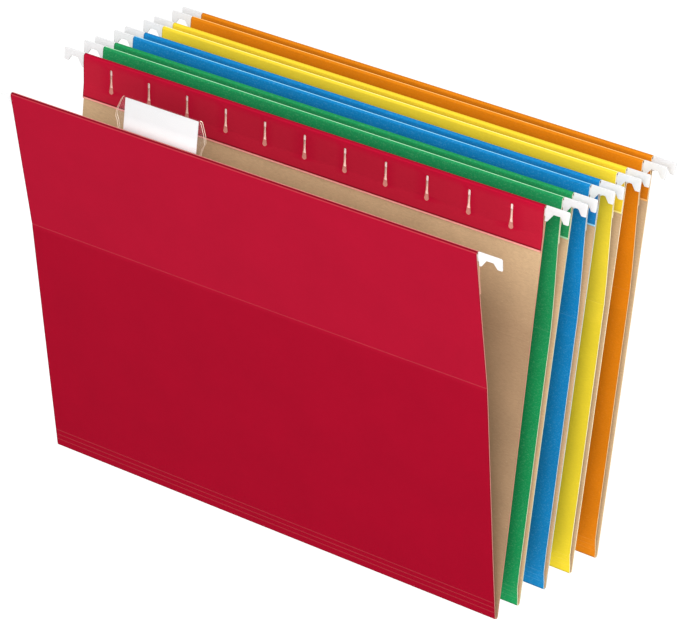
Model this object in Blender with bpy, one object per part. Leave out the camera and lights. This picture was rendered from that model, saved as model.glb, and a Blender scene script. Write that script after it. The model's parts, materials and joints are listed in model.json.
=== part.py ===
"""A set of five letter-size hanging file folders, one behind the other.

X runs along the rods, -Y points to the front folder and +Z is up. The origin lies between the
rail seats of the rear folder's back rod, so z = 0 is the height of the rails' top edges.

Each folder is a sheet of card with a crease at the bottom. A flat steel rod lies in the hem at the
top of each side, with a coated hook on each end. The four rear folders hang nearly closed. The red
one at the front stands open, and carries an index tab.
"""
from math import asin, cos, pi, radians, sin

import bmesh
import bpy
from mathutils import Matrix, Vector

# The folders, front to rear, and the colours of their card.
CARD_COLOURS = {
    "red": (0.445, 0.005, 0.028),
    "green": (0.015, 0.235, 0.080),
    "blue": (0.005, 0.205, 0.465),
    "yellow": (0.730, 0.545, 0.040),
    "orange": (0.685, 0.210, 0.006),
}
FOLDER_PITCH = 0.0265

# The card.
CARD_WIDTH = 0.2985
FOLDER_HEIGHT = 0.236
CARD_THICKNESS = 0.0005
CREASE_RADIUS = 0.00125
CREASE_SWEEP = radians(120)
SCORE_BELOW_TOP = 0.0855

# The hem: the card folds over the rod, and the flap comes back to the card at its lower edge.
HEM_RADIUS = 0.00125
HEM_STRAIGHT = 0.0085
FLAP_DEPTH = 0.026
FLAP_EDGE_GAP = 0.0004

# The keyhole slots in the flap.
SLOT_COUNT = 11
SLOT_PITCH = 0.026
SLOT_BELOW_TOP = 0.0046
SLOT_LENGTH = 0.0142
SLOT_WIDTH = 0.0015
SLOT_EYE_RADIUS = 0.00145
SLOT_NECK_BELOW_TOP = 0.0083

# How the folders hang.
CLOSED_MOUTH = 0.0095
RED_LEAN = radians(14.0)
RED_FLARE = radians(3.4)

# The rods and hooks. Heights are above the rail.
RAIL_BELOW_TOP = 0.0038
ROD_THICKNESS = 0.0005
ROD_TOP = 0.0024
ROD_BOTTOM = -0.0042
HOOK_THICKNESS = 0.0009
HOOK_REACH = 0.0144
HOOK_ROOT = 0.0020
HOOK_ROOT_HALF = 0.0020
HOOK_EAR_DROP = 0.0046
HOOK_EAR_FOOT = 0.0013
HOOK_LEG_DROP = 0.0033
HOOK_LEG_FOOT = 0.0027
SEAT_START = 0.0050
SEAT_END = 0.0092
GAP = 0.0003

# The index tab and its insert. The tab's skirt lies flat on the hem, and above its bend the pocket
# stands upright. Heights in the skirt are from the hem's top edge, and in the pocket from the bend.
TAB_X = -2 * SLOT_PITCH
TAB_TILT = RED_LEAN + RED_FLARE
TAB_BEND = -0.0025
TAB_PLATE = 0.0004
TAB_POCKET = 0.0009
TAB_TOP = 0.0195
TAB_POCKET_FOOT = 0.0006
TAB_FOOT = -0.0118
TAB_TOP_HALF = 0.0261
TAB_WIDE_HALF = 0.0293
TAB_WIDE_AT = 0.0077
TAB_WAIST_HALF = 0.0268
TAB_WAIST_AT = -0.0020
TAB_FOOT_HALF = 0.0278
TAB_SHOULDER_AT = -0.0070
TAB_CORNER = 0.0025
PRONG_BELOW_TOP = 0.0094
PRONG_NECK = (0.0012, 0.0018)
PRONG_HEAD = (0.0026, 0.0020)
PRONG_HEAD_THICKNESS = 0.0005
PRONG_HEAD_CENTRE = 0.0002
INSERT_SIZE = (0.0480, 0.0179)
INSERT_THICKNESS = 0.0003

# Worked out from the above, in a panel's own frame: u points out of the folder, h up the card from
# the crease's axis.
TOP_H = FOLDER_HEIGHT - CREASE_RADIUS - CARD_THICKNESS / 2
RAIL_H = TOP_H - RAIL_BELOW_TOP
SCORE_H = TOP_H - SCORE_BELOW_TOP
CLOSED_LEAN = asin(CLOSED_MOUTH / 2 / RAIL_H)
HEM_FACE_U = -HEM_RADIUS - CARD_THICKNESS / 2
TAB_FRONT_U = HEM_FACE_U - GAP

FOLD_STEPS = 6
CREASE_STEPS = 5
EYE_STEPS = 7
CORNER_STEPS = 3


def clear_scene():
    for thing in list(bpy.data.objects):
        bpy.data.objects.remove(thing, do_unlink=True)


def new_collection(name):
    collection = bpy.data.collections.new(name)
    bpy.context.scene.collection.children.link(collection)
    return collection


def make_material(name, colour, roughness, metallic=0.0, alpha=1.0):
    material = bpy.data.materials.new(name)
    material.use_nodes = True
    shader = material.node_tree.nodes["Principled BSDF"]
    shader.inputs["Base Color"].default_value = (*colour, 1.0)
    shader.inputs["Roughness"].default_value = roughness
    shader.inputs["Metallic"].default_value = metallic
    shader.inputs["Alpha"].default_value = alpha
    return material


def arc(centre, radius, start, end, steps):
    """Points on an arc, both ends included."""
    angles = [start + (end - start) * i / steps for i in range(steps + 1)]
    return [(centre[0] + radius * cos(a), centre[1] + radius * sin(a)) for a in angles]


def ribbon(path, thickness):
    """The outline of a strip of this thickness along a path of (x, y) points."""
    points = [Vector(p) for p in path]
    left = []
    right = []
    for i, point in enumerate(points):
        before = (point - points[i - 1]).normalized() if i else None
        after = (points[i + 1] - point).normalized() if i + 1 < len(points) else None
        along = ((before or after) + (after or before)).normalized()
        normal = Vector((-along.y, along.x))
        reach = thickness / 2 / along.dot(after or before)
        left.append(point + normal * reach)
        right.append(point - normal * reach)
    return [tuple(p) for p in left + right[::-1]]


def prism(name, outlines, depth, axes, material, collection):
    """An outline drawn as a flat curve and thickened by depth, as a mesh.

    axes holds the directions of the outline's x and y.
    """
    curve = bpy.data.curves.new(name + "_outline", "CURVE")
    curve.dimensions = "2D"
    curve.fill_mode = "BOTH"
    curve.extrude = depth / 2
    for outline in outlines:
        spline = curve.splines.new("POLY")
        spline.points.add(len(outline) - 1)
        for point, (x, y) in zip(spline.points, outline):
            point.co = (x, y, 0.0, 1.0)
        spline.use_cyclic_u = True
    drawn = bpy.data.objects.new(name + "_drawn", curve)
    bpy.context.scene.collection.objects.link(drawn)
    bpy.context.view_layer.update()
    evaluated = drawn.evaluated_get(bpy.context.evaluated_depsgraph_get())
    mesh = bpy.data.meshes.new_from_object(evaluated)
    bpy.data.objects.remove(drawn, do_unlink=True)

    right, up = (Vector(a) for a in axes)
    out = right.cross(up)
    mesh.transform(Matrix((right, up, out)).transposed().to_4x4())
    mesh.name = name
    shape = bmesh.new()
    shape.from_mesh(mesh)
    bmesh.ops.remove_doubles(shape, verts=shape.verts, dist=0.00001)
    bmesh.ops.recalc_face_normals(shape, faces=shape.faces)
    shape.to_mesh(mesh)
    shape.free()
    return add_object(name, mesh, material, collection)


def add_object(name, mesh, material, collection):
    thing = bpy.data.objects.new(name, mesh)
    if material:
        mesh.materials.clear()
        mesh.materials.append(material)
    collection.objects.link(thing)
    return thing


def make_pivot(name, y, z, lean, collection):
    """An empty on a joint's axis. lean turns what hangs on it about X."""
    pivot = bpy.data.objects.new(name, None)
    pivot.empty_display_size = 0.01
    pivot.location = (0.0, y, z)
    pivot.rotation_euler = (lean, 0.0, 0.0)
    collection.objects.link(pivot)
    return pivot


def hang_on(thing, pivot, matrix=None):
    thing.parent = pivot
    if matrix:
        thing.matrix_local = matrix


def as_cutter(thing):
    thing.hide_render = True
    thing.display_type = "WIRE"


def add_boolean(thing, other, operation):
    modifier = thing.modifiers.new(operation.lower(), "BOOLEAN")
    modifier.operation = operation
    modifier.solver = "EXACT"
    modifier.object = other


def flared(point, flare):
    """A point (u, h) above the score line, tipped outwards about it."""
    x = point[0] - CREASE_RADIUS
    y = point[1] - SCORE_H
    return (CREASE_RADIUS + x * cos(flare) + y * sin(flare), SCORE_H + y * cos(flare) - x * sin(flare))


def card_path(sweep, flare):
    """The middle of the card from the crease, up the panel, over the hem and down the flap.

    sweep is how far round the crease this panel's card goes.
    """
    crease = arc((0, 0), CREASE_RADIUS, -sweep, 0, CREASE_STEPS) if sweep else [(CREASE_RADIUS, 0)]
    fold_h = TOP_H - CARD_THICKNESS / 2 - HEM_RADIUS
    hem = arc((0, fold_h), HEM_RADIUS, 0, pi, FOLD_STEPS)
    hem.append((-HEM_RADIUS, TOP_H - HEM_STRAIGHT))
    hem.append((HEM_RADIUS - CARD_THICKNESS - FLAP_EDGE_GAP, TOP_H - FLAP_DEPTH))
    return crease + [(CREASE_RADIUS, SCORE_H)] + [flared(p, flare) for p in hem]


def slot_outline():
    """A keyhole: straight at the top, with a round eye at the bottom. y = 0 is the slot's top."""
    half = SLOT_WIDTH / 2
    eye = (0, SLOT_EYE_RADIUS - SLOT_LENGTH)
    stem = [(half, -SLOT_NECK_BELOW_TOP), (half, 0), (-half, 0), (-half, -SLOT_NECK_BELOW_TOP)]
    return stem + arc(eye, SLOT_EYE_RADIUS, pi, 2 * pi, EYE_STEPS)


def make_slot_cutter(name, collection):
    """Eleven keyhole prisms in a row, in the frame of a panel whose outside faces -Y."""
    inner_u = 2 * HEM_FACE_U
    outer_u = CREASE_RADIUS - CARD_THICKNESS
    outline = [(x, y + TOP_H - SLOT_BELOW_TOP) for x, y in slot_outline()]
    middle = (SLOT_COUNT - 1) / 2
    outlines = [[(x + (i - middle) * SLOT_PITCH, y) for x, y in outline] for i in range(SLOT_COUNT)]
    cutter = prism(name, outlines, outer_u - inner_u, ((1, 0, 0), (0, 0, 1)), None, collection)
    cutter.data.transform(Matrix.Translation((0, -(outer_u + inner_u) / 2, 0)))
    as_cutter(cutter)
    return cutter


def flare_matrix(flare):
    """Turns what is built on an unflared front panel about its score line."""
    about = Matrix.Translation((0, -CREASE_RADIUS, SCORE_H))
    return about @ Matrix.Rotation(flare, 4, "X") @ about.inverted()


def make_panel(name, side, flare, slots, pivot, place, material, parts):
    """One side of a folder. side is -1 for the front panel, whose outside faces -Y, and 1 for the back.

    The front panel's card goes round the crease, and the back panel's ends at it.
    """
    sweep = CREASE_SWEEP if side < 0 else 0
    outline = ribbon(card_path(sweep, flare), CARD_THICKNESS)
    panel = prism(name, [outline], CARD_WIDTH, ((0, side, 0), (0, 0, 1)), material, parts)
    hang_on(panel, pivot, place)
    add_boolean(panel, slots, "DIFFERENCE")


def make_rod(name, pivot, material, parts):
    half = CARD_WIDTH / 2 - HOOK_ROOT - GAP
    outline = [(-half, ROD_BOTTOM), (half, ROD_BOTTOM), (half, ROD_TOP), (-half, ROD_TOP)]
    rod = prism(name, [outline], ROD_THICKNESS, ((1, 0, 0), (0, 0, 1)), material, parts)
    hang_on(rod, pivot)


def hook_outline():
    """The right-hand hook. x = 0 is the card's edge, y = 0 the roof of the notch that sits on the rail."""
    return [
        (-HOOK_ROOT, -HOOK_ROOT_HALF),
        (GAP, -HOOK_ROOT_HALF),
        (GAP, -HOOK_EAR_DROP),
        (GAP + HOOK_EAR_FOOT, -HOOK_EAR_DROP),
        (SEAT_START, 0),
        (SEAT_END, 0),
        (HOOK_REACH - GAP - HOOK_LEG_FOOT, -HOOK_LEG_DROP),
        (HOOK_REACH - GAP, -HOOK_LEG_DROP),
        (HOOK_REACH, RAIL_BELOW_TOP - 2 * GAP),
        (HOOK_REACH - 2 * GAP, RAIL_BELOW_TOP),
        (GAP, RAIL_BELOW_TOP),
        (GAP, HOOK_ROOT_HALF),
        (-HOOK_ROOT, HOOK_ROOT_HALF),
    ]


def make_hooks(name, pivot, material, parts):
    for word, hand in (("left", -1), ("right", 1)):
        outline = [(hand * (x + CARD_WIDTH / 2), y) for x, y in hook_outline()]
        axes = ((1, 0, 0), (0, 0, 1))
        hook = prism(f"{name}_{word}_hook", [outline], HOOK_THICKNESS, axes, material, parts)
        hang_on(hook, pivot)


def upright(depth, height):
    """(u, h) of a point of the tab's pocket: depth behind its near face, height above its bend."""
    u = TAB_FRONT_U - depth * cos(TAB_TILT) - height * sin(TAB_TILT)
    return u, TAB_BEND + height * cos(TAB_TILT) - depth * sin(TAB_TILT)


def tab_outline():
    """The tab seen square to the panel. y is the height above the hem's top edge."""
    rise = cos(TAB_TILT)
    top = TAB_BEND + TAB_TOP * rise
    right = arc((TAB_TOP_HALF - TAB_CORNER, top - TAB_CORNER), TAB_CORNER, pi / 2, 0, CORNER_STEPS)
    right.append((TAB_WIDE_HALF, TAB_BEND + TAB_WIDE_AT * rise))
    right.append((TAB_WAIST_HALF, TAB_WAIST_AT))
    right.append((TAB_FOOT_HALF, TAB_SHOULDER_AT))
    right.append((TAB_FOOT_HALF, TAB_FOOT))
    return right + [(-x, y) for x, y in right[::-1]]


def tab_section():
    """The tab's section, as (u, h from the hem's top): a flat tube with a skirt below its bend."""
    back = 2 * TAB_PLATE + TAB_POCKET
    foot = TAB_POCKET_FOOT - TAB_PLATE
    outer = [(TAB_FRONT_U, TAB_FOOT), (TAB_FRONT_U, TAB_BEND), upright(0, TAB_TOP), upright(back, TAB_TOP)]
    outer += [upright(back, foot), upright(TAB_PLATE, foot), (TAB_FRONT_U - TAB_PLATE, TAB_FOOT)]
    near = TAB_PLATE
    far = TAB_PLATE + TAB_POCKET
    top = TAB_TOP - TAB_PLATE
    inner = [upright(near, TAB_POCKET_FOOT), upright(near, top), upright(far, top), upright(far, TAB_POCKET_FOOT)]
    return [outer, inner]


def make_block(name, size, centre, collection):
    """A box, as (x, y, z) size and centre."""
    shape = bmesh.new()
    bmesh.ops.create_cube(shape, size=1.0, matrix=Matrix.Diagonal((*size, 1.0)))
    mesh = bpy.data.meshes.new(name)
    shape.to_mesh(mesh)
    shape.free()
    mesh.transform(Matrix.Translation(centre))
    block = add_object(name, mesh, None, collection)
    as_cutter(block)
    return block


def make_tab(pivot, place, material, parts, cutters):
    """The clear tab. Each prong's neck passes through a slot, and its head lies behind the flap."""
    tab = prism("index_tab", tab_section(), 3 * TAB_WIDE_HALF, ((0, -1, 0), (0, 0, 1)), material, parts)
    depth = 2 * TAB_TOP
    shaper = prism("tab_shape", [tab_outline()], depth, ((1, 0, 0), (0, 0, 1)), None, cutters)
    as_cutter(shaper)
    at_hem = place @ Matrix.Translation((TAB_X, 0, TOP_H))
    hang_on(tab, pivot, at_hem)
    hang_on(shaper, pivot, at_hem)
    add_boolean(tab, shaper, "INTERSECT")

    head_inner_u = PRONG_HEAD_CENTRE - PRONG_HEAD_THICKNESS / 2
    neck_start_u = TAB_FRONT_U - TAB_PLATE / 2
    neck_end_u = PRONG_HEAD_CENTRE
    for word, x in (("left", -SLOT_PITCH), ("right", SLOT_PITCH)):
        neck_size = (PRONG_NECK[0], neck_end_u - neck_start_u, PRONG_NECK[1])
        neck_at = (x, -(neck_start_u + neck_end_u) / 2, -PRONG_BELOW_TOP)
        head_size = (PRONG_HEAD[0], PRONG_HEAD_THICKNESS, PRONG_HEAD[1])
        head_at = (x, -head_inner_u - PRONG_HEAD_THICKNESS / 2, -PRONG_BELOW_TOP)
        for piece, size, centre in (("neck", neck_size, neck_at), ("head", head_size, head_at)):
            block = make_block(f"tab_{word}_{piece}", size, centre, cutters)
            hang_on(block, pivot, at_hem)
            add_boolean(tab, block, "UNION")


def make_insert(pivot, place, material, parts):
    width, height = INSERT_SIZE
    foot = TAB_POCKET_FOOT + GAP
    outline = [(-width / 2, foot), (width / 2, foot), (width / 2, foot + height), (-width / 2, foot + height)]
    insert = prism("tab_insert", [outline], INSERT_THICKNESS, ((1, 0, 0), (0, 0, 1)), material, parts)
    at_bend = Matrix.Translation((TAB_X, -TAB_FRONT_U, TOP_H + TAB_BEND))
    in_pocket = Matrix.Translation((0, TAB_PLATE + TAB_POCKET / 2, 0))
    hang_on(insert, pivot, place @ at_bend @ Matrix.Rotation(-TAB_TILT, 4, "X") @ in_pocket)


def make_folder(colour, rod_y, leans, flare, materials, parts, cutters):
    """A folder whose back rod is at rod_y. leans are how far the back and front panels lean outwards."""
    back_lean, front_lean = leans
    crease_y = rod_y - RAIL_H * sin(back_lean)
    crease_z = -RAIL_H * cos(back_lean)
    crease = make_pivot(f"{colour}_crease", crease_y, crease_z, front_lean, parts)
    swing = make_pivot(f"{colour}_back_hanger", rod_y, 0.0, -back_lean, parts)
    rod_back = make_pivot(f"{colour}_back_seat", rod_y, 0.0, 0.0, parts)

    out, up = flared((0.0, RAIL_H), flare)
    front_y = crease_y - out * cos(front_lean) - up * sin(front_lean)
    front_z = crease_z + up * cos(front_lean) - out * sin(front_lean)
    rod_tilt = front_lean + flare if flare else 0.0
    rod_front = make_pivot(f"{colour}_front_seat", front_y, front_z, rod_tilt, parts)

    card = materials[colour]
    front_slots = make_slot_cutter(f"{colour}_front_slots", cutters)
    hang_on(front_slots, crease, flare_matrix(flare))
    make_panel(f"{colour}_front_panel", -1, flare, front_slots, crease, None, card, parts)

    down = Matrix.Translation((0, 0, -RAIL_H))
    back_slots = make_slot_cutter(f"{colour}_back_slots", cutters)
    back_slots.data.transform(Matrix.Rotation(pi, 4, "Z"))
    hang_on(back_slots, swing, down)
    make_panel(f"{colour}_back_panel", 1, 0.0, back_slots, swing, down, card, parts)

    for side, pivot in (("back", rod_back), ("front", rod_front)):
        make_rod(f"{colour}_{side}_rod", pivot, materials["steel"], parts)
        make_hooks(f"{colour}_{side}", pivot, materials["hook"], parts)
    return crease


def main():
    clear_scene()
    parts = new_collection("hanging_file_folders")
    cutters = new_collection("cutters")
    materials = {name: make_material(name + "_card", rgb, 0.75) for name, rgb in CARD_COLOURS.items()}
    materials["steel"] = make_material("rod_steel", (0.55, 0.56, 0.57), 0.35, metallic=1.0)
    materials["hook"] = make_material("hook_coating", (0.86, 0.87, 0.84), 0.45)
    materials["clear"] = make_material("clear_plastic", (0.95, 0.96, 0.96), 0.08, alpha=0.3)
    materials["insert"] = make_material("insert_card", (0.93, 0.93, 0.93), 0.7)

    for place, colour in enumerate(reversed(CARD_COLOURS)):
        rod_y = -place * FOLDER_PITCH
        if colour == "red":
            crease = make_folder(colour, rod_y, (0.0, RED_LEAN), RED_FLARE, materials, parts, cutters)
            on_panel = flare_matrix(RED_FLARE)
            make_tab(crease, on_panel, materials["clear"], parts, cutters)
            make_insert(crease, on_panel, materials["insert"], parts)
        else:
            leans = (CLOSED_LEAN, CLOSED_LEAN)
            make_folder(colour, rod_y, leans, 0.0, materials, parts, cutters)


main()
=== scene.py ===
import json
from math import asin, cos, pi, radians, sin, sqrt

import bmesh
import bpy
from mathutils import Matrix, Vector, noise


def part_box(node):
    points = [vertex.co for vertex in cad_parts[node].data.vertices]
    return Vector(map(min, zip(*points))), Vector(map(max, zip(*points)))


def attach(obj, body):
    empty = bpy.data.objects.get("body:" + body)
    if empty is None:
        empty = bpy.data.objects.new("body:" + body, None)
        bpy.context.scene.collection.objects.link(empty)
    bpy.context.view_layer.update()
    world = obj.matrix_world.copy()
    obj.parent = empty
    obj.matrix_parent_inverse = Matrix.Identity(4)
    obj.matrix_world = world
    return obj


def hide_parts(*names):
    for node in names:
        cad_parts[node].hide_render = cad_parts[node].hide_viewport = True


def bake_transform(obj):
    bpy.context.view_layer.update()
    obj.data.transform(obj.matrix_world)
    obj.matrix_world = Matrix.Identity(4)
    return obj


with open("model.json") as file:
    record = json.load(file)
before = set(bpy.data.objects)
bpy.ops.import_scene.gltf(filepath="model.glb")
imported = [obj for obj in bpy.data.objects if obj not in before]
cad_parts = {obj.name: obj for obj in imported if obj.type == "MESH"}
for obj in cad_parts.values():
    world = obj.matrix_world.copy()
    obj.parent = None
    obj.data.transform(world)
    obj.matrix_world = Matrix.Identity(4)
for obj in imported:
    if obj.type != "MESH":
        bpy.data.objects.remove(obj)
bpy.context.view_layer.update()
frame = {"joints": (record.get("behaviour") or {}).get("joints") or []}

# The set of hanging folders, rear to front. Colours are linear RGB: the face of the card low down and
# high up, with painted light making it lighter high up; the pale colour of its folds and score lines, partly
# wear and partly painted highlight; and its cut edge. flap is a painted brightness for the folded-over
# flap, 1 for that of the rest, and mottle is how strongly the dye varies.
FOLDERS = {
    "orange": {
        "low": (0.540, 0.165, 0.005),
        "high": (0.610, 0.185, 0.005),
        "worn_and_highlit": (1.00, 0.57, 0.19),
        "cut": (0.84, 0.60, 0.32),
        "flap": 1.0,
        "mottle": 1.6,
    },
    "yellow": {
        "low": (0.725, 0.540, 0.026),
        "high": (0.780, 0.575, 0.035),
        "worn_and_highlit": (0.97, 0.88, 0.34),
        "cut": (0.92, 0.86, 0.58),
        "flap": 1.0,
        "mottle": 1.3,
    },
    "blue": {
        "low": (0.007, 0.170, 0.400),
        "high": (0.006, 0.185, 0.450),
        "worn_and_highlit": (0.34, 0.74, 0.95),
        "cut": (0.50, 0.62, 0.66),
        "flap": 1.0,
        "mottle": 2.2,
    },
    "green": {
        "low": (0.009, 0.248, 0.073),
        "high": (0.012, 0.240, 0.075),
        "worn_and_highlit": (0.44, 0.80, 0.50),
        "cut": (0.58, 0.66, 0.46),
        "flap": 1.0,
        "mottle": 2.2,
    },
    "red": {
        "low": (0.252, 0.0004, 0.0120),
        "high": (0.312, 0.0035, 0.0200),
        "worn_and_highlit": (0.95, 0.42, 0.36),
        "cut": (0.55, 0.22, 0.18),
        "flap": 1.32,
        "mottle": 1.0,
    },
}

# The undyed inside: high up; low down in the open folder, a darker copy painted as the shade deep in the
# fold; and under the flap, as seen through its slots, painted lighter and pinker as light there. The colour
# changes between the two heights of KRAFT_RISE.
KRAFT = (0.560, 0.390, 0.226)
KRAFT_PAINTED_SHADE = (0.345, 0.222, 0.128)
KRAFT_UNDER_PAINTED_LIGHT = (1.00, 0.74, 0.64)
SHIVE = (0.33, 0.21, 0.115)
PALE_FIBRE = (0.74, 0.58, 0.39)
KRAFT_RISE = (0.165, 0.209)

# The card, as in the frame's solids.
CARD_WIDTH = 0.2985
FOLDER_HEIGHT = 0.236
CARD = 0.0005
CREASE_RADIUS = 0.00125
HEM_RADIUS = 0.00125
HEM_STRAIGHT = 0.0085
FLAP_DEPTH = 0.026
FLAP_EDGE_GAP = 0.0004
RAIL_BELOW_TOP = 0.0038
SCORE_BELOW_TOP = 0.0762
BEND_BELOW_TOP = 0.0855
RED_LEAN = radians(14.0)
RED_FLARE = radians(3.4)

SLOT_COUNT = 11
SLOT_PITCH = 0.026
SLOT_BELOW_TOP = 0.0046
SLOT_LENGTH = 0.0142
SLOT_WIDTH = 0.0015
SLOT_EYE_RADIUS = 0.00145
SLOT_NECK_BELOW_TOP = 0.0083
SLOTTED_HALF = 5.3 * SLOT_PITCH    # half the length of flap that the slots take up

TOP_H = FOLDER_HEIGHT - CREASE_RADIUS - CARD / 2
RAIL_H = TOP_H - RAIL_BELOW_TOP
BEND_H = TOP_H - BEND_BELOW_TOP
FLAP_END_U = HEM_RADIUS - CARD - FLAP_EDGE_GAP

# The rows and columns of the card's mesh, and its score lines, as heights above the crease.
FOOT_SCORES = (0.0036, 0.0068, 0.0100)
SCORE_HALF = 0.00035
SCORE_DEPTH = 0.00010
# The score lines are painted paler, partly as wear and partly as painted highlight.
SCORE_WEAR_AND_HIGHLIGHT = 0.10
CREASE_STEPS = 12
FIRST_ROW = 0.0018
PANEL_ROW = 0.0125
PANEL_COLUMNS = 30
EDGE_BAND = 0.0007

# The hem's fold, with the panel's last two rows under it, and the flap. The flap hangs from the fold,
# slopes in from FLAP_LEAVES and meets the panel at FLAP_MEETS. Where the tab holds it out, it slopes more
# slowly, but not past PINCH_TO at the card's ends. Rows are distances below the hem's top.
HEM_STEPS = 20
HEM_ROWS_BELOW_TOP = (0.010, 0.006)
FOLD_FADE = radians(9)
FLAP_LEAVES = 0.0030
FLAP_MEETS = 0.0172
FLAP_UPPER_ROWS = (0.0048, 0.0085, 0.0120, 0.0150, 0.0164, 0.0172, 0.0180, 0.0200, 0.0242)
# Painted shade darkens the flap along these rows, just above its pale cut edge.
FLAP_SHADED_ROWS = (0.0244, 0.0250)
FLAP_WORN_ROWS = (0.0252, FLAP_DEPTH)
FLAP_WEAR = 0.02
PINCH_FROM = 0.112
PINCH_TO = 0.138
# Each crown's folds are (from, to, pale, dark) in degrees round the hem: pale is partly wear and partly
# painted highlight, dark is painted shade. edge is painted shade along the flap's lower edge.
CROWNS = {
    "inner_front": {
        "folds": ((82, 115, 0.95, 0), (45, 60, 0, 0.25)),
        "edge": 0.2,
        "tabbed": False,
        "hangs": 1,
    },
    "red_front": {
        "folds": ((100, 150, 0.55, 0), (58, 90, 0, 0.95), (38, 48, 0.1, 0)),
        "edge": 0.2,
        "tabbed": True,
        "hangs": 0,
    },
    "inner_back": {
        "folds": ((88, 130, 0, 0.35),),
        "edge": 0.2,
        "tabbed": False,
        "hangs": 0,
    },
    "red_back": {
        "folds": ((20, 60, 0.1, 0), (95, 135, 0, 0.4)),
        "edge": 0.9,
        "tabbed": False,
        "hangs": 0,
    },
}

# How the front of a nearly closed folder hangs: out at its foot, and in at its score line.
HANG_OUT = 0.0024
HANG_IN = 0.0032
HANG_RISE = 0.014

# How far the card bows out of flat between its folds, the waves per metre across and along it, and how
# much painted shade darkens its edges and its crease.
BOW = 0.00045
BOW_WAVES = (5.0, 6.0)
BOW_STARTS = (0.012, 0.05)
BOW_ENDS_BELOW_TOP = (0.07, 0.028)
EDGE_SHADE = 0.8
CREASE_SHADE = 2.2
CARD_SHARP_ANGLE = radians(32)

# The card's texture coordinates are in metres. Its two sides lie apart, about these middles.
OUTSIDE_U = 0.2
INSIDE_U = 0.8


def smooth_step(x, low, high):
    t = min(1.0, max(0.0, (x - low) / (high - low)))
    return t * t * (3 - 2 * t)


def band(turn, start, end):
    """1 between two angles round a fold, given in degrees, and fading to 0 outside them."""
    rise = smooth_step(turn, radians(start) - FOLD_FADE, radians(start))
    return rise * (1 - smooth_step(turn, radians(end), radians(end) + FOLD_FADE))


def flared(u, h, flare):
    """A point of the panel above its bend, tipped outwards about it."""
    if h <= BEND_H:
        return u, h
    x = u - CREASE_RADIUS
    y = h - BEND_H
    return CREASE_RADIUS + x * cos(flare) + y * sin(flare), BEND_H + y * cos(flare) - x * sin(flare)


def hang(h):
    """How far out of flat the front of a nearly closed folder hangs, at a height above the crease."""
    score_h = TOP_H - SCORE_BELOW_TOP
    if h > score_h:
        return -HANG_IN * (1 - smooth_step(h, score_h, TOP_H - HEM_STRAIGHT))
    return smooth_step(h, 0.0, HANG_RISE) * (HANG_OUT - (HANG_OUT + HANG_IN) * h / score_h)


def side_rows(flare, crown):
    """The middle of the card on one side of a folder, from the crease to the hem and down the flap.

    Each row is (u, h, wear_and_highlight, painted_shade, pinch): u out of the folder, h up from the crease,
    how pale the face is there, partly from wear and partly as painted highlight, how much painted shade
    darkens it, and how far the flap closes in at the card's ends. crown has the hem's folds, each as
    (from, to, pale, dark) in degrees round the hem, with pale as wear and painted highlight and dark as
    painted shade, how much painted shade darkens the flap along its lower edge, whether the tab's prongs
    hold the flap out, and 1 or 0 for a panel that does or doesn't hang out of flat.
    """
    rows = []
    middle_score = BEND_H if flare else TOP_H - SCORE_BELOW_TOP
    scores = sorted([*FOOT_SCORES, middle_score])
    starts = [FIRST_ROW, *[s + 2 * SCORE_HALF for s in scores]]
    ends = [*[s - 2 * SCORE_HALF for s in scores], TOP_H - HEM_ROWS_BELOW_TOP[0]]
    for place, (start, end) in enumerate(zip(starts, ends)):
        steps = max(1, round((end - start) / PANEL_ROW))
        for i in range(steps + 1):
            rows.append((CREASE_RADIUS, start + (end - start) * i / steps, 0.0, 0.0, 0.0))
        if place < len(scores):
            h = scores[place]
            rows.append((CREASE_RADIUS, h - SCORE_HALF, 0.0, 0.0, 0.0))
            rows.append((CREASE_RADIUS - SCORE_DEPTH, h, SCORE_WEAR_AND_HIGHLIGHT, 0.0, 0.0))
            rows.append((CREASE_RADIUS, h + SCORE_HALF, 0.0, 0.0, 0.0))
    fold_h = TOP_H - CARD / 2 - HEM_RADIUS
    rows.append((CREASE_RADIUS, TOP_H - HEM_ROWS_BELOW_TOP[1], 0.0, 0.0, 0.0))
    for i in range(HEM_STEPS + 1):
        turn = pi * i / HEM_STEPS
        wear_and_highlight = sum(worn_and_highlit * band(turn, low, high) for low, high, worn_and_highlit, _ in crown["folds"])
        painted_shade = sum(painted_dark * band(turn, low, high) for low, high, _, painted_dark in crown["folds"])
        rows.append((HEM_RADIUS * cos(turn), fold_h + HEM_RADIUS * sin(turn), wear_and_highlight, painted_shade, 0.0))
    reach = FLAP_END_U + HEM_RADIUS
    for below in (*FLAP_UPPER_ROWS, *FLAP_SHADED_ROWS, *FLAP_WORN_ROWS):
        free = min(1.0, max(0.0, (below - FLAP_LEAVES) / (FLAP_MEETS - FLAP_LEAVES)))
        held = min(1.0, max(0.0, (below - HEM_STRAIGHT) / (FLAP_DEPTH - HEM_STRAIGHT)))
        share = held if crown["tabbed"] else free
        wear_and_highlight = 1.0 if below in FLAP_WORN_ROWS else FLAP_WEAR
        painted_shade = crown["edge"] if below in FLAP_SHADED_ROWS else 0.0
        rows.append((-HEM_RADIUS + reach * share, TOP_H - below, wear_and_highlight, painted_shade, reach * (free - share)))
    placed = []
    for u, h, wear_and_highlight, painted_shade, pinch in rows:
        placed.append((*flared(u + crown["hangs"] * hang(h), h, flare), wear_and_highlight, painted_shade, pinch))
    return placed


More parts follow.
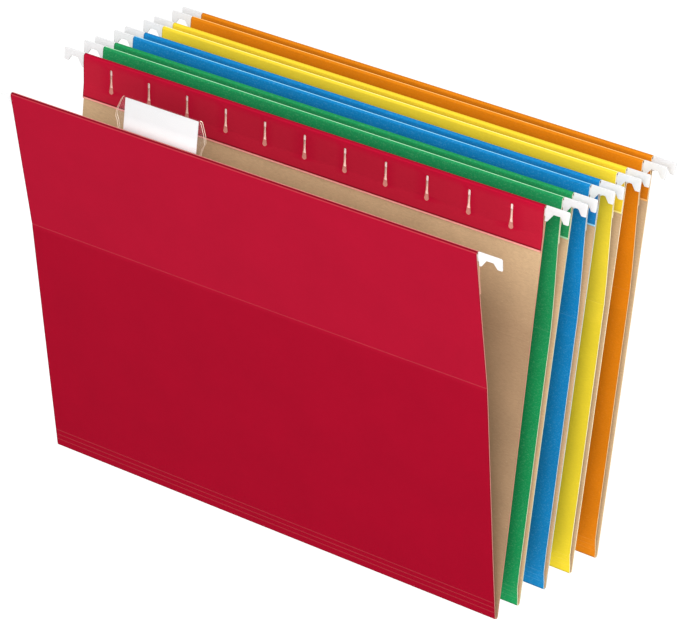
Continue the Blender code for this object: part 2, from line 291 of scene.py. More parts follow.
class Folder:
    """Where a folder's card lies. sides are -1 for the front and 1 for the back."""

    def __init__(self, colour):
        self.colour = colour
        joint = next(j for j in frame["joints"] if j["name"] == colour + "_open")
        self.crease_y, self.crease_z = joint["pos_m"][1:]
        low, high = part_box(colour + "_back_rod")
        rod_y = (low.y + high.y) / 2
        back_lean = asin((rod_y - self.crease_y) / RAIL_H)
        self.lean = {1: back_lean, -1: RED_LEAN if colour == "red" else back_lean}
        self.flare = {1: 0.0, -1: RED_FLARE if colour == "red" else 0.0}

    def place(self, side, u, h):
        """(y, z) of a point of one side's own frame."""
        lean = self.lean[side]
        out = u * cos(lean) + h * sin(lean)
        return self.crease_y + side * out, self.crease_z + h * cos(lean) - u * sin(lean)

    def path(self):
        """The whole card's middle from the back flap, down, round the crease and up to the front flap.

        Each entry is (y, z, wear_and_highlight, painted_shade, free, pinch): free is how far the card may
        bow there, 0 to 1.
        """
        sides = {}
        bow_ends = [TOP_H - below for below in BOW_ENDS_BELOW_TOP]
        for side in (1, -1):
            sides[side] = []
            kind = ("red_" if self.colour == "red" else "inner_") + ("back" if side == 1 else "front")
            for u, h, wear_and_highlight, painted_shade, pinch in side_rows(self.flare[side], CROWNS[kind]):
                free = smooth_step(h, *BOW_STARTS) * (1 - smooth_step(h, *bow_ends))
                sides[side].append((*self.place(side, u, h), wear_and_highlight, painted_shade, free, pinch))
        start = -self.lean[1]
        end = -pi + self.lean[-1]
        crease = []
        for i in range(CREASE_STEPS + 1):
            turn = start + (end - start) * i / CREASE_STEPS
            # Painted shade in the crease, darkest at its middle.
            painted_shade = min(1.0, CREASE_SHADE * (1 - abs(2 * i / CREASE_STEPS - 1)))
            y = self.crease_y + CREASE_RADIUS * cos(turn)
            z = self.crease_z + CREASE_RADIUS * sin(turn)
            crease.append((y, z, 0.0, painted_shade, 0.0, 0.0))
        return sides[1][::-1] + crease + sides[-1]


def card_columns():
    half = CARD_WIDTH / 2
    inner = half - EDGE_BAND
    middle = [-inner + 2 * inner * i / PANEL_COLUMNS for i in range(PANEL_COLUMNS + 1)]
    return [-half, *middle, half]


def directions(points):
    """The way a path runs at each of its points, midway between the stretches that meet there."""
    result = []
    for i, point in enumerate(points):
        before = (point - points[i - 1]).normalized() if i else None
        after = (points[i + 1] - point).normalized() if i + 1 < len(points) else None
        result.append(((before or after) + (after or before)).normalized())
    return result


def shell(rows, columns):
    """The faces of a thin sheet, and their kinds: 0 on its outer side, 1 on its inner side, 2 at its rims.

    The vertices are the outer side's, row by row, and then the inner side's in the same order.
    """
    def at(side, i, j):
        return side * rows * columns + i * columns + j

    faces = []
    kinds = []
    for i in range(rows - 1):
        for j in range(columns - 1):
            faces.append((at(0, i, j), at(0, i, j + 1), at(0, i + 1, j + 1), at(0, i + 1, j)))
            faces.append((at(1, i, j), at(1, i + 1, j), at(1, i + 1, j + 1), at(1, i, j + 1)))
            kinds += [0, 1]
        for j in (0, columns - 1):
            faces.append((at(0, i, j), at(0, i + 1, j), at(1, i + 1, j), at(1, i, j)))
            kinds.append(2)
    for j in range(columns - 1):
        for i in (0, rows - 1):
            faces.append((at(0, i, j), at(1, i, j), at(1, i, j + 1), at(0, i, j + 1)))
            kinds.append(2)
    return faces, kinds


def new_mesh(name, shape):
    """A mesh from a finished bmesh."""
    mesh = bpy.data.meshes.new(name)
    shape.to_mesh(mesh)
    shape.free()
    return mesh


def new_object(name, data):
    thing = bpy.data.objects.new(name, data)
    bpy.context.scene.collection.objects.link(thing)
    return thing


def make_card(folder, materials):
    """One folder's sheet of card, as a closed mesh: face outside, kraft inside, paper at the cut edges."""
    path = folder.path()
    columns = card_columns()
    seed = 7.3 * sorted(FOLDERS).index(folder.colour)
    points = [Vector((0, p[0], p[1])) for p in path]
    normals = [Vector((0, -along.z, along.y)) for along in directions(points)]
    lengths = [0.0]
    for before, after in zip(points, points[1:]):
        lengths.append(lengths[-1] + (after - before).length)

    # Painted shade darkens the card along its left edge, and the red one along both.
    to_crease = lengths[-1] / 2
    shaded_columns = (0, len(columns) - 1) if folder.colour == "red" else (0,)
    vertices = []
    wear_and_highlight = []
    painted_shade = []
    uv = []
    for side, middle_u in ((1, OUTSIDE_U), (-1, INSIDE_U)):
        for point, normal, length, (_, _, worn_and_highlit, painted_dark, free, pinch) in zip(points, normals, lengths, path):
            for j, x in enumerate(columns):
                waves = Vector((BOW_WAVES[0] * x, BOW_WAVES[1] * length, seed))
                bow = BOW * free * noise.noise(waves)
                bow -= pinch * smooth_step(abs(x), PINCH_FROM, PINCH_TO)
                vertices.append(Vector((x, 0, 0)) + point + normal * (bow + side * CARD / 2))
                wear_and_highlight.append(worn_and_highlit)
                painted_shade.append(max(painted_dark, EDGE_SHADE if j in shaded_columns else 0.0))
                uv.append((x + middle_u, length - to_crease))

    faces, kinds = shell(len(points), len(columns))
    mesh = bpy.data.meshes.new(folder.colour + "_card")
    mesh.from_pydata(vertices, [], faces)
    for material in materials:
        mesh.materials.append(material)
    mesh.polygons.foreach_set("material_index", kinds)
    layer = mesh.uv_layers.new(name="card")
    for loop in mesh.loops:
        layer.data[loop.index].uv = uv[loop.vertex_index]
    for name, values in (("wear_and_highlight", wear_and_highlight), ("painted_shade", painted_shade)):
        mesh.attributes.new(name, "FLOAT", "POINT").data.foreach_set("value", values)
    card = new_object(folder.colour + "_card", mesh)
    right_way_out(mesh)

    cutter = make_slot_cutter(folder, materials)
    modifier = card.modifiers.new("slots", "BOOLEAN")
    modifier.operation = "DIFFERENCE"
    modifier.solver = "EXACT"
    modifier.object = cutter
    apply_modifiers(card)
    bpy.data.objects.remove(cutter, do_unlink=True)
    shade_smooth(card.data, CARD_SHARP_ANGLE)
    return card


def right_way_out(mesh):
    shape = bmesh.new()
    shape.from_mesh(mesh)
    bmesh.ops.recalc_face_normals(shape, faces=shape.faces)
    shape.to_mesh(mesh)
    shape.free()


def apply_modifiers(thing):
    bpy.context.view_layer.update()
    depsgraph = bpy.context.evaluated_depsgraph_get()
    evaluated = thing.evaluated_get(depsgraph)
    mesh = bpy.data.meshes.new_from_object(evaluated, preserve_all_data_layers=True, depsgraph=depsgraph)
    thing.modifiers.clear()
    thing.data = mesh


def shade_smooth(mesh, angle):
    """Smooth shading, with the edges that turn by more than the angle kept sharp."""
    mesh.polygons.foreach_set("use_smooth", [True] * len(mesh.polygons))
    mesh.set_sharp_from_angle(angle=angle)


def slot_outline():
    """A keyhole, narrow at the top with a round eye at the foot. y = 0 is the slot's top."""
    eye = SLOT_EYE_RADIUS - SLOT_LENGTH
    half = SLOT_WIDTH / 2
    side = [
        (half, -SLOT_NECK_BELOW_TOP),
        (0.88 * half, -0.0036),
        (half, -0.0024),
        (half, -0.0004),
        (0.5 * half, 0),
    ]
    points = side + [(-x, y) for x, y in side[::-1]]
    steps = 18
    start, sweep = radians(155), radians(230)
    for i in range(steps + 1):
        turn = start + sweep * i / steps
        points.append((SLOT_EYE_RADIUS * cos(turn), eye + SLOT_EYE_RADIUS * sin(turn)))
    return points


def make_slot_cutter(folder, materials):
    """Prisms through the flaps of both hems, which cut the slots and give them the cut edge's look."""
    shape = bmesh.new()
    outline = slot_outline()
    for side in (1, -1):
        for k in range(SLOT_COUNT):
            x0 = (k - (SLOT_COUNT - 1) / 2) * SLOT_PITCH
            rings = []
            for u in (-2.0 * HEM_RADIUS, 0.3 * HEM_RADIUS):
                ring = []
                for x, y in outline:
                    point = flared(u, TOP_H - SLOT_BELOW_TOP + y, folder.flare[side])
                    ring.append(shape.verts.new((x0 + x, *folder.place(side, *point))))
                rings.append(ring)
                shape.faces.new(ring)
            for i in range(len(outline)):
                j = (i + 1) % len(outline)
                shape.faces.new((rings[0][i], rings[0][j], rings[1][j], rings[1][i]))
    bmesh.ops.recalc_face_normals(shape, faces=shape.faces)
    mesh = new_mesh(folder.colour + "_slots", shape)
    for material in materials:
        mesh.materials.append(material)
    mesh.polygons.foreach_set("material_index", [2] * len(mesh.polygons))
    return new_object(folder.colour + "_slots", mesh)


# ---- rods and hooks ----

# Heights are from the roof of the hook's notch. GAP is the clearance between pieces.
ROD = 0.0005
ROD_TOP = 0.0024
ROD_BOTTOM = -0.0042
ROD_CORNER = 0.0004
ROD_BEVEL = 0.00012
HOOK = 0.0009
HOOK_REACH = 0.0144
HOOK_ROOT = 0.0020
HOOK_BEVEL = 0.00025
GAP = 0.0003
PLATE_SHARP_ANGLE = radians(40)


def rounded(points, radii, steps=5):
    """An outline with its corners rounded off, each by its own radius."""
    result = []
    for i, (point, radius) in enumerate(zip(points, radii)):
        corner = Vector(point)
        before = Vector(points[i - 1]) - corner
        after = Vector(points[(i + 1) % len(points)]) - corner
        cut = min(radius, 0.45 * before.length, 0.45 * after.length)
        start = corner + before.normalized() * cut
        end = corner + after.normalized() * cut
        if radius == 0:
            result.append(tuple(corner))
            continue
        for k in range(steps + 1):
            t = k / steps
            result.append(tuple(start * (1 - t) ** 2 + corner * 2 * t * (1 - t) + end * t * t))
    return result


def make_plate(name, outline, thickness, bevel, material, matrix):
    """A flat plate with its rims rounded over. The outline is in x and y, and y becomes height."""
    shape = bmesh.new()
    rings = []
    for depth in (-thickness / 2, thickness / 2):
        rings.append([shape.verts.new((x, depth, y)) for x, y in outline])
        shape.faces.new(rings[-1])
    count = len(outline)
    for i in range(count):
        j = (i + 1) % count
        shape.faces.new((rings[0][i], rings[0][j], rings[1][j], rings[1][i]))
    bmesh.ops.recalc_face_normals(shape, faces=shape.faces)
    rims = [e for e in shape.edges if abs(e.verts[0].co.y - e.verts[1].co.y) < 1e-9]
    bmesh.ops.bevel(
        shape, geom=rims, offset=bevel, segments=3, profile=0.5, affect="EDGES", clamp_overlap=True
    )
    mesh = new_mesh(name, shape)
    mesh.transform(matrix)
    mesh.materials.append(material)
    shade_smooth(mesh, PLATE_SHARP_ANGLE)
    return new_object(name, mesh)


def hook_outline():
    """The right-hand hook. x = 0 is the card's edge and y = 0 the roof of the notch."""
    corners = [
        ((-HOOK_ROOT, -0.0020), 0.0003),
        ((GAP, -0.0020), 0),
        ((GAP, -0.0046), 0.0002),
        ((GAP + 0.0013, -0.0046), 0.0004),
        ((0.0050, 0), 0.0003),
        ((0.0092, 0), 0.0003),
        ((0.0114, -0.0033), 0.0003),
        ((0.0141, -0.0033), 0.0004),
        ((HOOK_REACH, 0.0032), 0.0006),
        ((HOOK_REACH - 0.0006, RAIL_BELOW_TOP), 0.0003),
        ((GAP, RAIL_BELOW_TOP), 0.0002),
        ((GAP, 0.0020), 0),
        ((-HOOK_ROOT, 0.0020), 0.0003),
    ]
    return rounded([c[0] for c in corners], [c[1] for c in corners])


def box_outline(low_x, low_y, high_x, high_y, radius, steps=5):
    """A rectangle with rounded corners."""
    corners = [(low_x, low_y), (high_x, low_y), (high_x, high_y), (low_x, high_y)]
    return rounded(corners, [radius] * 4, steps)


def make_rod_and_hooks(folder, side, materials):
    word = "back" if side == 1 else "front"
    colour = folder.colour
    body = f"{colour}_{word}" if colour == "red" else f"{colour}_{word}_hanger"
    out, up = flared(0.0, RAIL_H, folder.flare[side])
    y, z = folder.place(side, out, up)
    tilt = folder.lean[side] + folder.flare[side] if colour == "red" and side == -1 else 0.0
    seat = Matrix.Translation((0, y, z)) @ Matrix.Rotation(tilt, 4, "X")
    half = CARD_WIDTH / 2 - HOOK_ROOT - GAP
    outline = box_outline(-half, ROD_BOTTOM, half, ROD_TOP, ROD_CORNER)
    rod = make_plate(f"{colour}_{word}_strip", outline, ROD, ROD_BEVEL, materials["steel"], seat)
    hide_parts(f"{colour}_{word}_rod")
    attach(rod, body)
    for hand, where in ((-1, "left"), (1, "right")):
        outline = [(hand * (x + CARD_WIDTH / 2), h) for x, h in hook_outline()]
        name = f"{colour}_{word}_{where}_hook"
        hook = make_plate(name + "_coated", outline, HOOK, HOOK_BEVEL, materials["coating"], seat)
        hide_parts(name)
        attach(hook, body)


# ---- the index tab and its insert ----

# The tab's skirt lies against the flap, inside the folder, and its pocket stands upright above TAB_BEND.
# Heights are from the hem's top, along the panel, and in the pocket from the bend, straight up.
TAB_X = -2 * SLOT_PITCH
TAB_TILT = RED_LEAN + RED_FLARE
TAB_BEND = -0.0025
TAB_PLATE = 0.0004
TAB_POCKET = 0.0009
TAB_TOP = 0.0195
TAB_FOOT = -0.0118
TAB_CORNER = 0.0025
TAB_FRONT_U = -HEM_RADIUS - CARD / 2 - GAP
TAB_COLUMNS = 17
TOP_STEPS = 10
POCKET_FOOT = 0.0004

# (height, half width), smoothly joined.
TAB_OUTLINE = (
    (TAB_FOOT, 0.0272),
    (-0.0108, 0.0278),
    (-0.0070, 0.0278),
    (-0.0020, 0.0268),
    (0.0020, 0.0279),
    (0.0048, 0.0293),
    (0.0066, 0.0290),
    (0.0160, 0.0261),
)
SKIRT_ROWS = (TAB_FOOT, -0.0112, -0.0108, -0.0096, -0.0084, -0.0070, -0.0058, -0.0046, -0.0036)
POCKET_ROWS = (0.0010, 0.0024, 0.0038, 0.0052, 0.0066, 0.0080, 0.0095, 0.0120, 0.0150, 0.0165)
POCKET_UPPER_ROWS = (0.0174, 0.0181, 0.0185)

PRONG_BELOW_TOP = 0.0094
PRONG_HEAD_U = 0.0002
PRONG_START_U = TAB_FRONT_U - 0.0001
PRONG_BEVEL = 0.0001
NECK_HALF = (0.0006, 0.0009)
NECK_CORNER = 0.0003
HEAD_HALF = (0.0013, 0.0010)
HEAD_CORNER = 0.0005
HEAD_THICKNESS = 0.0005

INSERT_WIDTH = 0.0480
INSERT_HEIGHT = 0.0179
INSERT = 0.0003
INSERT_FOOT = 0.0006 + GAP
INSERT_CORNER = 0.0004
INSERT_BEVEL = 0.00006


def upright(depth, height):
    """(u, h) of a point of the pocket: depth into the folder from its outer face, height above the bend."""
    u = TAB_FRONT_U - depth * cos(TAB_TILT) - height * sin(TAB_TILT)
    return u, TAB_BEND + height * cos(TAB_TILT) - depth * sin(TAB_TILT)


def tab_half_width(height):
    """Half the tab's width at a height above the hem's top edge, along the panel."""
    half = TAB_OUTLINE[0][1]
    for (low, narrow), (high, wide) in zip(TAB_OUTLINE, TAB_OUTLINE[1:]):
        if height >= low:
            half = narrow + (wide - narrow) * smooth_step(height, low, high)
    top = TAB_BEND + TAB_TOP * cos(TAB_TILT)
    if height > top - TAB_CORNER:
        fall = min(1.0, (height - top + TAB_CORNER) / TAB_CORNER)
        half -= TAB_CORNER * (1 - sqrt(max(0.0, 1 - fall * fall)))
    return half


def tab_path():
    """The middle of the tab's wall as (u, h): skirt, outer wall, top, inner wall and the pocket's foot."""
    outer = TAB_PLATE / 2
    radius = (TAB_PLATE + TAB_POCKET) / 2
    inner = outer + 2 * radius
    top = TAB_TOP - TAB_PLATE / 2
    path = [(TAB_FRONT_U - outer, h) for h in SKIRT_ROWS]
    rise = [*POCKET_ROWS, *POCKET_UPPER_ROWS, top - radius]
    path += [upright(outer, y) for y in rise]
    for i in range(1, TOP_STEPS):
        turn = pi * i / TOP_STEPS
        path.append(upright(outer + radius * (1 - cos(turn)), top - radius + radius * sin(turn)))
    path += [upright(inner, y) for y in rise[::-1]]
    path.append(upright(inner - 0.0001, POCKET_FOOT + 0.0001))
    path.append(upright(inner - 0.0003, POCKET_FOOT))
    path.append(upright(2.2 * TAB_PLATE, POCKET_FOOT))
    return path


def tab_matrix(folder):
    """From (x, -u, height above the hem's top) to the red folder's flared front panel."""
    lean = folder.lean[-1] + folder.flare[-1]
    out, up = flared(0.0, TOP_H, folder.flare[-1])
    y, z = folder.place(-1, out, up)
    return Matrix.Translation((TAB_X, y, z)) @ Matrix.Rotation(lean, 4, "X")


def make_clear_tab(to_panel, materials):
    points = [Vector(p) for p in tab_path()]
    shares = [-1 + 2 * i / (TAB_COLUMNS - 1) for i in range(TAB_COLUMNS)]
    vertices = []
    for side in (1, -1):
        for point, along in zip(points, directions(points)):
            u, h = point + Vector((-along.y, along.x)) * side * TAB_PLATE / 2
            half = tab_half_width(point.y)
            vertices += [(half * share, -u, h) for share in shares]
    faces, kinds = shell(len(points), TAB_COLUMNS)
    mesh = bpy.data.meshes.new("clear_tab")
    mesh.from_pydata(vertices, [], faces)
    mesh.materials.append(materials["clear"])
    mesh.materials.append(materials["rim"])
    mesh.polygons.foreach_set("material_index", [int(kind == 2) for kind in kinds])
    right_way_out(mesh)
    mesh.transform(to_panel)
    shade_smooth(mesh, PLATE_SHARP_ANGLE)
    tab = new_object("clear_tab", mesh)
    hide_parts("index_tab")
    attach(tab, "index_tab")


def make_prong(word, x, to_panel, materials):
    """One of the tab's two prongs: a neck through the slot, and a head that only the slot's eye lets by."""
    neck_u = (PRONG_START_U + PRONG_HEAD_U) / 2
    neck_length = PRONG_HEAD_U - PRONG_START_U
    neck = box_outline(-NECK_HALF[0], -NECK_HALF[1], *NECK_HALF, NECK_CORNER, 3)
    head = box_outline(-HEAD_HALF[0], -HEAD_HALF[1], *HEAD_HALF, HEAD_CORNER, 4)
    parts = (("neck", neck, neck_u, neck_length), ("head", head, PRONG_HEAD_U, HEAD_THICKNESS))
    for part, outline, u, depth in parts:
        at = to_panel @ Matrix.Translation((x, -u, -PRONG_BELOW_TOP))
        block = make_plate(f"tab_{word}_prong_{part}", outline, depth, PRONG_BEVEL, materials["clear"], at)
        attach(block, "index_tab")


def make_insert(to_panel, materials):
    half = INSERT_WIDTH / 2
    outline = box_outline(-half, INSERT_FOOT, half, INSERT_FOOT + INSERT_HEIGHT, INSERT_CORNER, 3)
    at_bend = to_panel @ Matrix.Translation((0, -TAB_FRONT_U, TAB_BEND))
    middle = Matrix.Translation((0, TAB_PLATE + TAB_POCKET / 2, 0))
    at = at_bend @ Matrix.Rotation(-TAB_TILT, 4, "X") @ middle
    insert = make_plate("white_insert", outline, INSERT, INSERT_BEVEL, materials["paper"], at)
    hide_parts("tab_insert")
    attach(insert, "tab_insert")


# ---- materials ----

# The rod's steel is painted pale and pinkish as painted light where it shows in the slots.
STEEL = (1.00, 0.93, 0.90)
COATING = (0.662, 0.664, 0.668)
CLEAR = (0.30, 0.26, 0.26)
# Painted highlight: the clear tab's rims are an opaque pale cream, as light catching its edges.
CLEAR_RIM_HIGHLIGHT = (1.0, 0.86, 0.70)
# The insert is painted lighter low down, as painted light against the shade at its foot.
INSERT_HIGH = (0.635, 0.63, 0.635)
INSERT_LOW_LIT = (0.86, 0.86, 0.86)
FLOOR = (0.95, 0.95, 0.95)


def new_material(name):
    material = bpy.data.materials.new(name)
    material.use_nodes = True
    return material, material.node_tree, material.node_tree.nodes["Principled BSDF"]


def add_node(tree, kind, inputs=(), **settings):
    """A node with its settings, and its inputs as {name or number: value or socket}."""
    made = tree.nodes.new(kind)
    for key, value in settings.items():
        setattr(made, key, value)
    for key, value in dict(inputs).items():
        if isinstance(value, bpy.types.NodeSocket):
            tree.links.new(value, made.inputs[key])
        else:
            made.inputs[key].default_value = value
    return made


def math_node(tree, operation, a, b, c=None):
    inputs = {0: a, 1: b} if c is None else {0: a, 1: b, 2: c}
    return add_node(tree, "ShaderNodeMath", inputs, operation=operation).outputs[0]


def mix_colour(tree, factor, a, b):
    made = add_node(tree, "ShaderNodeMix", data_type="RGBA")
    for socket, value in ((made.inputs[0], factor), (made.inputs[6], a), (made.inputs[7], b)):
        if isinstance(value, bpy.types.NodeSocket):
            tree.links.new(value, socket)
        elif isinstance(value, tuple):
            socket.default_value = (*value, 1.0)
        else:
            socket.default_value = value
    return made.outputs[2]


def noise_node(tree, vector, scale, detail=2.0, roughness=0.5, distortion=0.0):
    inputs = {
        "Vector": vector,
        "Scale": scale,
        "Detail": detail,
        "Roughness": roughness,
        "Distortion": distortion,
    }
    return add_node(tree, "ShaderNodeTexNoise", inputs).outputs["Fac"]


def ramp(tree, value, start, end):
    """0 up to start and 1 from end, straight between them. It falls where end is the lower one."""
    inputs = {"Value": value, "From Min": start, "From Max": end}
    return add_node(tree, "ShaderNodeMapRange", inputs).outputs[0]


def magnitude(tree, value):
    return math_node(tree, "ABSOLUTE", value, 0.0)


def stretched(tree, vector, factors):
    return add_node(tree, "ShaderNodeVectorMath", {0: vector, 1: factors}, operation="MULTIPLY").outputs[0]


def paper_fibres(tree, vector):
    """Cloudy formation, fibres lying mostly one way, and fine grain, each 0 to 1."""
    cloud = noise_node(tree, vector, 34.0, 3.0, 0.6)
    fibre = noise_node(tree, stretched(tree, vector, (420.0, 1300.0, 1.0)), 1.0, 3.0, 0.65, 0.6)
    grain = noise_node(tree, vector, 2600.0, 2.0, 0.6)
    return cloud, fibre, grain


def varied_value(tree, parts):
    """1 plus each noise's swing about its middle, as a value for a colour."""
    total = 1.0 - sum(swing for _, swing in parts) / 2
    for source, swing in parts:
        total = math_node(tree, "MULTIPLY_ADD", source, swing, total)
    return total


def tinted(tree, colour, value):
    """A colour, or a colour socket, with its value multiplied."""
    shade = (*colour, 1.0) if isinstance(colour, tuple) else colour
    return add_node(tree, "ShaderNodeHueSaturation", {"Color": shade, "Value": value}).outputs[0]


def add_bump(tree, shader, height, strength, distance):
    bump = add_node(tree, "ShaderNodeBump", {"Height": height, "Strength": strength, "Distance": distance})
    tree.links.new(bump.outputs["Normal"], shader.inputs["Normal"])


def face_material(colour):
    """The coloured side of the card: dyed fibres, pale at folds and score lines from wear and painted
    highlight, and darkened by painted shade at creases, edges and folds.
    """
    look = FOLDERS[colour]
    mottle = look["mottle"]
    material, tree, shader = new_material(colour + "_card_face")
    uv = add_node(tree, "ShaderNodeUVMap", uv_map="card").outputs[0]
    cloud, fibre, grain = paper_fibres(tree, uv)
    value = varied_value(tree, ((cloud, 0.15 * mottle), (fibre, 0.14 * mottle), (grain, 0.10 * mottle)))

    # Painted light: it is lighter higher up, with a step above the bend, as light falls there, and the flap
    # has a painted brightness of its own.
    along = magnitude(tree, add_node(tree, "ShaderNodeSeparateXYZ", {0: uv}).outputs[1])
    above = ramp(tree, along, BEND_H - 0.001, BEND_H + 0.002)
    height = math_node(tree, "MULTIPLY", along, 0.3 / BEND_H)
    fade = math_node(tree, "MULTIPLY_ADD", above, 0.55, height)
    face = mix_colour(tree, fade, look["low"], look["high"])
    folded = ramp(tree, along, TOP_H + 0.002, TOP_H + 0.004)
    brighter = math_node(tree, "MULTIPLY_ADD", folded, look["flap"] - 1, 1.0)
    dyed = tinted(tree, face, math_node(tree, "MULTIPLY", value, brighter))

    # Pale flecks of fibre, more of them where the dye is more mottled.
    specks = noise_node(tree, stretched(tree, uv, (900.0, 1300.0, 1.0)), 1.0, 1.0, 0.4, 1.2)
    fleck = math_node(tree, "MULTIPLY", ramp(tree, specks, 0.52, 0.72), 0.065 * (mottle - 1))
    flecked = mix_colour(tree, fleck, dyed, look["worn_and_highlit"])

    # Paler along folds and score lines: partly wear, partly painted highlight.
    wear_and_highlight = add_node(tree, "ShaderNodeAttribute", attribute_name="wear_and_highlight").outputs["Fac"]
    patchy = math_node(tree, "MULTIPLY_ADD", fibre, 0.7, 0.45)
    worn_and_highlit = mix_colour(tree, math_node(tree, "MULTIPLY", wear_and_highlight, patchy), flecked, look["worn_and_highlit"])
    # Painted shade: darker towards a shade of the face's colour along creases, edges and folds.
    painted_shade = add_node(tree, "ShaderNodeAttribute", attribute_name="painted_shade").outputs["Fac"]
    shade = tuple(0.42 * c for c in look["low"])
    painted_dark = mix_colour(tree, math_node(tree, "MULTIPLY", painted_shade, 0.8), worn_and_highlit, shade)
    tree.links.new(painted_dark, shader.inputs["Base Color"])
    tree.links.new(math_node(tree, "MULTIPLY_ADD", fibre, 0.16, 0.55), shader.inputs["Roughness"])
    shader.inputs["Specular IOR Level"].default_value = 0.02
    relief = math_node(tree, "ADD", fibre, math_node(tree, "MULTIPLY", grain, 0.6))
    add_bump(tree, shader, relief, 0.35, 0.00008)
    return material


def kraft_material(name, low):
    """The undyed side: brown kraft with darker shives and pale fibres. low is its colour near the crease, a
    painted shade where darker.
    """
    material, tree, shader = new_material(name)
    uv = add_node(tree, "ShaderNodeUVMap", uv_map="card").outputs[0]
    cloud, fibre, grain = paper_fibres(tree, uv)
    value = varied_value(tree, ((cloud, 0.34), (fibre, 0.42), (grain, 0.24)))

    place = add_node(tree, "ShaderNodeSeparateXYZ", {0: uv})
    across = magnitude(tree, math_node(tree, "SUBTRACT", place.outputs[0], INSIDE_U))
    along = magnitude(tree, place.outputs[1])
    # Painted shade: darker towards the crease where low is darker than KRAFT.
    open_kraft = mix_colour(tree, ramp(tree, along, *KRAFT_RISE), low, KRAFT)
    # Painted light: under the flap, behind the slots, the kraft is much lighter and pinker.
    under = ramp(tree, along, TOP_H - 0.022, TOP_H - 0.020)
    behind_slots = math_node(tree, "LESS_THAN", across, SLOTTED_HALF)
    kraft = mix_colour(tree, math_node(tree, "MULTIPLY", under, behind_slots), open_kraft, KRAFT_UNDER_PAINTED_LIGHT)
    pulp = tinted(tree, kraft, value)

    specks = noise_node(tree, stretched(tree, uv, (640.0, 1100.0, 1.0)), 1.0, 1.0, 0.4, 1.2)
    shives = math_node(tree, "MULTIPLY", ramp(tree, specks, 0.70, 0.78), 0.3)
    darker = mix_colour(tree, shives, pulp, SHIVE)
    pale = math_node(tree, "MULTIPLY", ramp(tree, specks, 0.30, 0.24), 0.12)
    lighter = mix_colour(tree, pale, darker, PALE_FIBRE)
    tree.links.new(lighter, shader.inputs["Base Color"])
    tree.links.new(math_node(tree, "MULTIPLY_ADD", fibre, 0.14, 0.68), shader.inputs["Roughness"])
    shader.inputs["Specular IOR Level"].default_value = 0.04
    relief = math_node(tree, "ADD", fibre, math_node(tree, "MULTIPLY", grain, 0.8))
    add_bump(tree, shader, relief, 0.45, 0.00010)
    return material


def cut_material(colour):
    """The cut edge of the card, where the paper's plies show."""
    material, tree, shader = new_material(colour + "_card_edge")
    place = add_node(tree, "ShaderNodeTexCoord").outputs["Object"]
    plies = noise_node(tree, stretched(tree, place, (300.0, 2500.0, 300.0)), 1.0, 3.0, 0.6)
    fluff = noise_node(tree, place, 1800.0, 2.0, 0.6)
    value = varied_value(tree, ((plies, 0.24), (fluff, 0.16)))
    tree.links.new(tinted(tree, FOLDERS[colour]["cut"], value), shader.inputs["Base Color"])
    shader.inputs["Roughness"].default_value = 0.85
    shader.inputs["Specular IOR Level"].default_value = 0.2
    add_bump(tree, shader, plies, 0.5, 0.0001)
    return material


def steel_material():
    """Cold-rolled strip, brushed along the rods, painted pale and pinkish as painted light in the slots."""
    material, tree, shader = new_material("rod_steel")
    place = add_node(tree, "ShaderNodeTexCoord").outputs["Object"]
    brushed = noise_node(tree, stretched(tree, place, (60.0, 6000.0, 6000.0)), 1.0, 3.0, 0.6)
    tint = tinted(tree, STEEL, varied_value(tree, ((brushed, 0.18),)))
    tree.links.new(tint, shader.inputs["Base Color"])
    shader.inputs["Metallic"].default_value = 0.15
    tree.links.new(math_node(tree, "MULTIPLY_ADD", brushed, 0.2, 0.36), shader.inputs["Roughness"])
    add_bump(tree, shader, brushed, 0.2, 0.00003)
    return material


def coating_material():
    """The dipped white coating on the hooks: smooth, with faint ripples and scuffs."""
    material, tree, shader = new_material("hook_coating")
    place = add_node(tree, "ShaderNodeTexCoord").outputs["Object"]
    ripple = noise_node(tree, place, 420.0, 2.0, 0.5)
    scuff = noise_node(tree, stretched(tree, place, (900.0, 900.0, 2600.0)), 1.0, 3.0, 0.7)
    tint = tinted(tree, COATING, varied_value(tree, ((ripple, 0.05), (scuff, 0.05))))
    tree.links.new(tint, shader.inputs["Base Color"])
    tree.links.new(math_node(tree, "MULTIPLY_ADD", scuff, 0.2, 0.24), shader.inputs["Roughness"])
    shader.inputs["Coat Weight"].default_value = 0.25
    shader.inputs["Coat Roughness"].default_value = 0.15
    add_bump(tree, shader, ripple, 0.25, 0.00008)
    return material


def clear_material(name, colour, alpha, glance):
    """Clear plastic: it shows mostly at its rims and where it catches the light.

    alpha is how much it hides what is behind it face on, and glance what a glancing view adds.
    """
    material, tree, shader = new_material(name)
    place = add_node(tree, "ShaderNodeTexCoord").outputs["Object"]
    ripple = noise_node(tree, place, 160.0, 2.0, 0.5)
    facing = add_node(tree, "ShaderNodeLayerWeight", {"Blend": 0.35}).outputs["Facing"]
    shader.inputs["Base Color"].default_value = (*colour, 1.0)
    edge_on = math_node(tree, "POWER", facing, 3.0)
    tree.links.new(math_node(tree, "MULTIPLY_ADD", edge_on, glance, alpha), shader.inputs["Alpha"])
    tree.links.new(math_node(tree, "MULTIPLY_ADD", ripple, 0.06, 0.05), shader.inputs["Roughness"])
    add_bump(tree, shader, ripple, 0.15, 0.0002)
    return material


